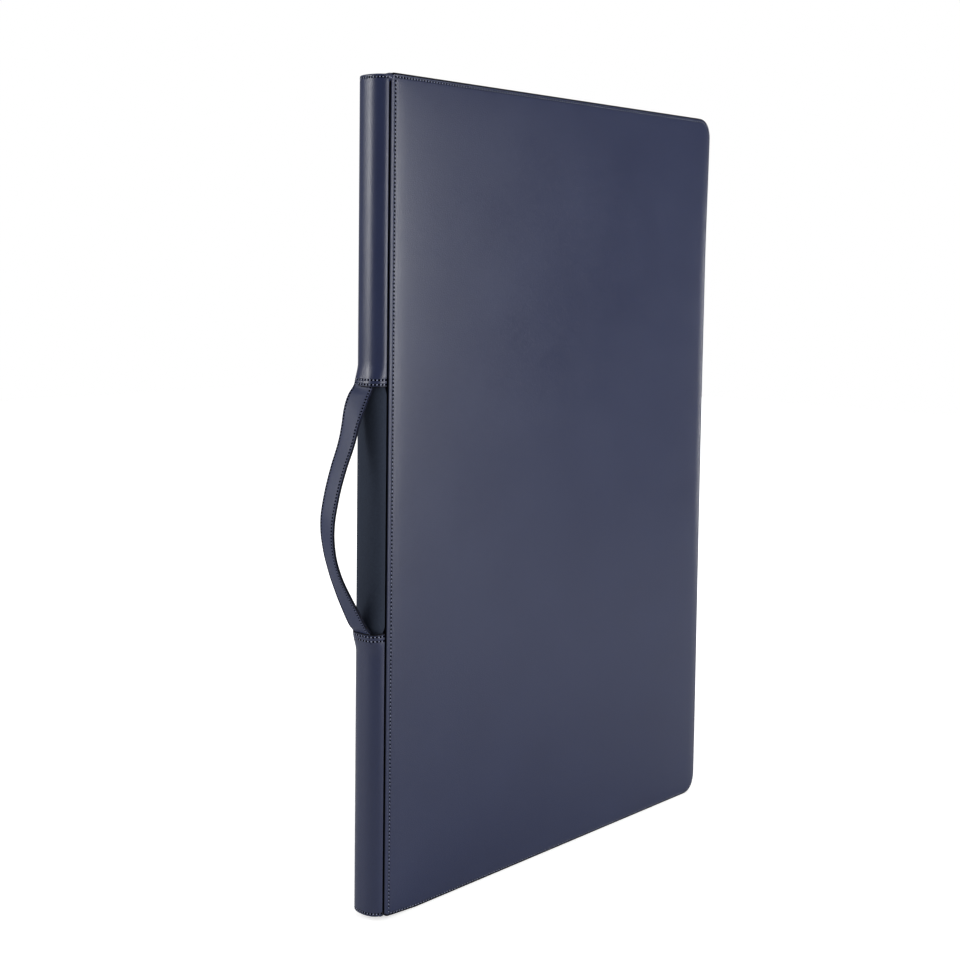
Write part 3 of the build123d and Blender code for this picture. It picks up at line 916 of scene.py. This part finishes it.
def strapLayer(name, top, thick, narrower, material, replaced, crown=0.0, sewn=False):
    # one layer: a flat section with soft edges, swept along the strap
    points, across, phase = [], [], []
    for i, along in enumerate(strapLengths):
        place, out, aside = strapFrame(i)
        half = strapWidth(place.z) / 2 - narrower
        row = strapWidth(place.z) / 2 - strapShape["rowInset"]
        marks = [step - half for step in strapShape["edgeSteps"]]
        marks += [step - row for step in strapShape["rowSteps"]] + [-half * 0.35]
        marks += [0.0] + [-m for m in marks[::-1]]
        sinks = [thick * share for share in strapShape["edgeSinks"]]
        sinks += [0.0] * (len(marks) - 2 * len(sinks)) + sinks[::-1]
        section, under = [], []
        for s, sink in zip(marks, sinks):
            gap = abs(abs(s) - row)
            channel = strapShape["channelDepth"] * math.exp(-(gap / strapShape["channelWidth"]) ** 2)
            lift = crown * (1 - (s / half) ** 2) - (channel if sewn else 0.0)
            section.append((s, lift - sink, gap / mm))
            under.append((s, sink - thick, noSeam))
        ring = section + under[-2:0:-1]
        points += [place + out * (level - top) + aside * s for s, level, _ in ring]
        across += [gap for _, _, gap in ring]
        phase += [along / stitching["finePitch"]] * len(ring)
    rings, count = len(strapPath), len(ring)
    piece = makePiece(name, points, tubeFaces(rings, count), [material, paintAndShade], "spine",
                      replaced)
    edges = (0, len(marks) - 2, len(marks) - 1, count - 1)
    setSecondMaterial(piece, [i * count + j for i in range(rings - 1) for j in edges])
    if sewn:
        setSeam(piece, phase, across)


strapLayer("strapFace", 0.0, strapShape["face"], 0.0, strapLeather, ["handle_face"],
           strapShape["crown"], sewn=True)
strapLayer("strapWebbing", strapShape["face"], strapShape["core"], 0.5 * mm, webbing,
           ["handle_webbing"])
strapLayer("strapLining", strapShape["face"] + strapShape["core"], strapShape["lining"], 0.15 * mm,
           plainLeather, ["handle_lining"])


def strapRows():
    # stitches down both sides of the face and of the lining, between the hems
    runs, pitch, past = [], stitching["finePitch"], 2 * mm
    targets = [(number + 0.5) * pitch for number in range(int(strapLengths[-1] / pitch))]
    layers = strapShape["face"] + strapShape["core"] + strapShape["lining"]
    onFace = strapShape["crown"] * strapShape["rowCrown"] - strapShape["channelDepth"]
    for face, level in ((1, onFace), (-1, -layers)):
        for hand in (-1, 1):
            rows, outs = [], []
            for place, out, aside in map(strapFrame, range(len(strapPath))):
                row = strapWidth(place.z) / 2 - strapShape["rowInset"]
                rows.append(place + out * level + aside * (hand * row))
                outs.append(out * face)
            places = placesAlong(rows, outs, strapLengths, targets)
            runs.append(([p for p in places if hemLow - past < p[0].z < hemHigh + past], pitch))
    return runs


sewRuns("strapStitches", strapRows(), "spine", darkThread)
print("strap made and sewn")


innerShape = dict(rounding=0.6 * mm, endRun=0.4 * mm, endPull=0.3 * mm, bands=30, wider=0.4 * mm)


def makeInnerLining():
    # long flat strip with rounded edges, down the spine's inner wall
    low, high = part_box("spine_inner_lining")
    x0, y0, x1, y1 = low.x, low.y, high.x + innerShape["wider"], high.y
    r, run, bands = innerShape["rounding"], innerShape["endRun"], innerShape["bands"]
    section = quarterTurn(x1 - r, y1 - r, r, 0, 4) + quarterTurn(x0 + r, y1 - r, r, 90, 4)
    section += quarterTurn(x0 + r, y0 + r, r, 180, 4) + quarterTurn(x1 - r, y0 + r, r, 270, 4)
    levels = [mix(low.z, high.z, i / bands) for i in range(bands + 1)]
    levels = [low.z, low.z + run, *levels[1:-1], high.z - run, high.z]
    middle = Vector(((x0 + x1) / 2, (y0 + y1) / 2, 0))
    points = []
    for k, level in enumerate(levels):
        pull = innerShape["endPull"] if k in (0, len(levels) - 1) else 0.0
        for x, y in section:
            away = Vector((x, y, 0)) - middle
            points.append(middle + away * (1 - pull / max(away.length, 1 * mm)) + Vector((0, 0, level)))
    makePiece("spineInnerLining", points, tubeFaces(len(levels), len(section)), [liningLeather],
              "spine", ["spine_inner_lining"])


makeInnerLining()

patchShape = dict(half=11 * mm, thick=0.8 * mm, under=0.3 * mm, rows=22, columns=15)


def backingPatch(part):
    # woven patch that follows the spine's curve behind a sewn strap end
    low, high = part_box(f"handle_{part}_backing")
    rows, columns = patchShape["rows"], patchShape["columns"]
    points = []
    for layer in (0, 1):
        inset = spineShape["sleeve"] * 2 + patchShape["under"] + patchShape["thick"] * layer
        reach, wide = spineBulge - inset, faceDepth - inset
        for i in range(rows):
            for j in range(columns):
                y = mix(-patchShape["half"], patchShape["half"], j / (columns - 1))
                x = creaseX - reach * math.sqrt(1 - (y / wide) ** 2)
                points.append(Vector((x, y, mix(low.z, high.z, i / (rows - 1)))))
    makePiece(f"{part}StrapBacking", points, slabFaces(rows, columns, flip=True), [webbing], "spine",
              [f"handle_{part}_backing"])


for part in ("upper", "lower"):
    backingPatch(part)

creaseShape = dict(
    foldRound=1.3 * mm, skive=0.35 * mm, foldDepth=12 * mm, tuck=6 * mm, foldEnd=1 * mm,
    webLength=10.5 * mm, thick=1.0 * mm, dive=7 * mm, diveRun=6.75 * mm, sag=0.5 * mm,
    topHalf=4.0 * mm, footHalf=2.2 * mm, topSunk=0.25 * mm, footSunk=2.45 * mm, footPast=1.6 * mm,
    edgeRound=0.8 * mm, edgeRun=1.2 * mm,
    row=(-4.2 * mm, 0.0, 5.4 * mm), rowSunk=0.15 * mm, blendHalf=1.5 * mm)


def blendAcross(piece):  # bakes the piece's placement into its points
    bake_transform(piece)


def hingeFold(name, side, replaced):
    # thin leather in the crease: up the spine's wall, over in a round fold and down the leaf's wall, all
    # of it black as painted shade deep in the groove
    middle, base, tuck = creaseShape["foldRound"], creaseShape["foldDepth"], creaseShape["tuck"]
    centre = [(-middle, base - tuck * (1 - i / 3)) for i in range(3)]
    centre += [(-middle * math.cos(math.pi * i / 10), base + middle * math.sin(math.pi * i / 10))
               for i in range(11)]
    centre += [(middle, base - tuck * (i + 1) / 3) for i in range(3)]
    ring = []
    for offset, order in ((creaseShape["skive"], 1), (-creaseShape["skive"], -1)):
        part = []
        for i, (x, depth) in enumerate(centre):
            (xa, da), (xb, db) = centre[max(i - 1, 0)], centre[min(i + 1, len(centre) - 1)]
            length = math.hypot(xb - xa, db - da)
            part.append((x - (db - da) / length * offset, depth + (xb - xa) / length * offset))
        ring += part[::order]
    bands, short = 120, creaseShape["foldEnd"]
    levels = [mix(spineLow + short, spineHigh - short, i / bands) for i in range(bands + 1)]
    points = [Vector((creaseX + x, side * depth, level)) for level in levels for x, depth in ring]
    piece = makePiece(name, points, tubeFaces(len(levels), len(ring), flip=side > 0), [paintAndShade], None,
                      replaced)
    blendAcross(piece)


def creaseBridge(name, side, way):
    # the end of the crease is closed by a short web that dives into the groove, sewn across at the top
    top = way > 0
    half = creaseShape["topHalf" if top else "footHalf"]
    end = spineHigh if top else spineLow - creaseShape["footPast"]
    under = creaseShape["topSunk" if top else "footSunk"]
    columns, rows = 17, 12
    points = []
    for layer in (0, 1):
        for i in range(rows):
            down = creaseShape["webLength"] * i / (rows - 1)
            for j in range(columns):
                x = mix(-half, half, j / (columns - 1))
                bow = 1 - (x / half) ** 2
                drop = smooth(down / creaseShape["diveRun"] - 0.5)
                sag = creaseShape["dive"] * drop * bow ** 1.5 + creaseShape["sag"] * (1 - bow + drop)
                rounded = creaseShape["edgeRound"] * (1 - smooth(down / creaseShape["edgeRun"]))
                depth = faceDepth - under - sag - rounded - creaseShape["thick"] * layer
                points.append(Vector((creaseX + x, side * depth, end - way * down)))
    faces = slabFaces(rows, columns, flip=side * way < 0)
    sewnFrom = len(faces)
    if top:
        level = end - spineShape["endRow"]
        depth = side * (faceDepth - creaseShape["rowSunk"])
        line = [Vector((creaseX + x, depth, level)) for x in creaseShape["row"]]
        normals = [Vector((0, side, 0))] * len(line)
        addPart(points, faces, *sewing(*resample(line, normals, stitching["finePitch"])))
    # the foot's web is all black, painted shade down in the groove; the top's web is leather
    materials = [plainLeather, thread] if top else [paintAndShade]
    piece = makePiece(name, points, faces, materials, None)
    setSecondMaterial(piece, range(sewnFrom, len(faces)))
    blendAcross(piece)


for leaf, side in (("front", -1), ("rear", 1)):
    hingeFold(f"{leaf}HingeFold", side, [f"{leaf}_hinge_leather"])
    creaseBridge(f"{leaf}CreaseTop", side, 1)
    creaseBridge(f"{leaf}CreaseFoot", side, -1)
print("creases closed")

for name in ("front_board", "rear_board", "spine_stiffener"):  # the CAD pieces that stay
    node = frame["nodes"][name]
    node.data.materials.clear()
    node.data.materials.append(plywood)


studio = dict(paperColour="#F2F2F0", floorSize=12.0, background=1.0, ambient="#FFFFFF",
              ambientLevel=0.32, glowNear=0.6, clearFrom=0.55, clearTo=1.3)
# name: (place, aimed at, width, height, watts, colour)
lamps = {
    "mainSoftbox": ((0.70, -2.4, 0.74), (-0.15, 0.0, 0.55), 1.35, 0.9, 35, "#FFFFFF"),
    "leftSoftbox": ((-2.0, 1.22, 1.3), (-0.27, 0.0, 0.7), 0.42, 1.6, 34, "#FFFFFF"),
    "rightStrip": ((2.4, -0.12, 0.3), (0.3, 0.0, 0.4), 0.25, 1.1, 6, "#FFFFFF"),
    "topSoftbox": ((0.0, -0.6, 3.2), (0.0, 0.0, 0.4), 2.4, 2.4, 12, "#FFFFFF"),
    "floorSoftbox": ((0.7, -1.9, 1.7), (0.7, -1.89, 0.0), 1.6, 1.2, 9, "#FFFFFF"),
}
view = dict(place=(-1.3342, -1.1424, 0.6921), turn=(85.26, -0.77, -47.30), lens=56.0, shift=-0.0833)


def studioPaper():
    # matt seamless paper: takes the object's soft shadow, and fades to plain white away from it
    material, tree, shader, place = startMaterial("mattSeamlessPaper")
    shader.inputs["Base Color"].default_value = linear(studio["paperColour"])
    shader.inputs["Roughness"].default_value = 0.95
    away = addNode(tree, "ShaderNodeVectorMath", links={0: place}, operation="LENGTH")
    fade = addNode(tree, "ShaderNodeMapRange",
                   {"From Min": studio["clearFrom"], "From Max": studio["clearTo"],
                    "To Min": studio["glowNear"], "To Max": studio["background"]},
                   {"Value": away.outputs["Value"]}, interpolation_type="SMOOTHSTEP")
    rays = addNode(tree, "ShaderNodeLightPath")
    glow = addNode(tree, "ShaderNodeMath",
                   links={0: fade.outputs["Result"], 1: rays.outputs["Is Camera Ray"]},
                   operation="MULTIPLY")
    white = addNode(tree, "ShaderNodeEmission", links={"Strength": glow.outputs[0]})
    both = addNode(tree, "ShaderNodeAddShader", links={0: shader.outputs[0], 1: white.outputs[0]})
    tree.links.new(both.outputs[0], tree.nodes["Material Output"].inputs["Surface"])
    return material


def makeFloor():
    half = studio["floorSize"] / 2
    mesh = bpy.data.meshes.new("studioFloor")
    corners = [(-half, -half, 0), (half, -half, 0), (half, half, 0), (-half, half, 0)]
    mesh.from_pydata(corners, [], [(0, 1, 2, 3)])
    mesh.materials.append(studioPaper())
    floor = bpy.data.objects.new("studioFloor", mesh)
    bpy.context.scene.collection.objects.link(floor)


def makeWorld():
    world = bpy.data.worlds.new("studioWorld")
    world.use_nodes = True
    tree = world.node_tree
    ambient = tree.nodes["Background"]
    ambient.inputs["Color"].default_value = linear(studio["ambient"])
    ambient.inputs["Strength"].default_value = studio["ambientLevel"]
    white = addNode(tree, "ShaderNodeBackground",
                    {"Color": (1, 1, 1, 1), "Strength": studio["background"]})
    rays = addNode(tree, "ShaderNodeLightPath")
    seen = addNode(tree, "ShaderNodeMixShader",
                   links={0: rays.outputs["Is Camera Ray"], 1: ambient.outputs[0], 2: white.outputs[0]})
    tree.links.new(seen.outputs[0], tree.nodes["World Output"].inputs["Surface"])
    bpy.context.scene.world = world


def makeLamps():
    for name, (place, aim, width, height, watts, colour) in lamps.items():
        data = bpy.data.lights.new(name, "AREA")
        data.shape = "RECTANGLE"
        data.size, data.size_y, data.energy = width, height, watts
        data.color = linear(colour)[:3]
        lamp = bpy.data.objects.new(name, data)
        lamp.location = place
        lamp.rotation_euler = (Vector(aim) - Vector(place)).to_track_quat("-Z", "Y").to_euler()
        bpy.context.scene.collection.objects.link(lamp)


def makeCamera():
    data = bpy.data.cameras.new("camera")
    data.lens, data.sensor_width, data.shift_y = view["lens"], 36, view["shift"]
    data.clip_start, data.clip_end = 0.05, 30
    camera = bpy.data.objects.new("camera", data)
    camera.location = view["place"]
    camera.rotation_euler = [math.radians(angle) for angle in view["turn"]]
    bpy.context.scene.collection.objects.link(camera)
    bpy.context.scene.camera = camera


makeFloor()
makeWorld()
makeLamps()
makeCamera()
bpy.context.scene.view_settings.view_transform = "Standard"

print("scene ready")
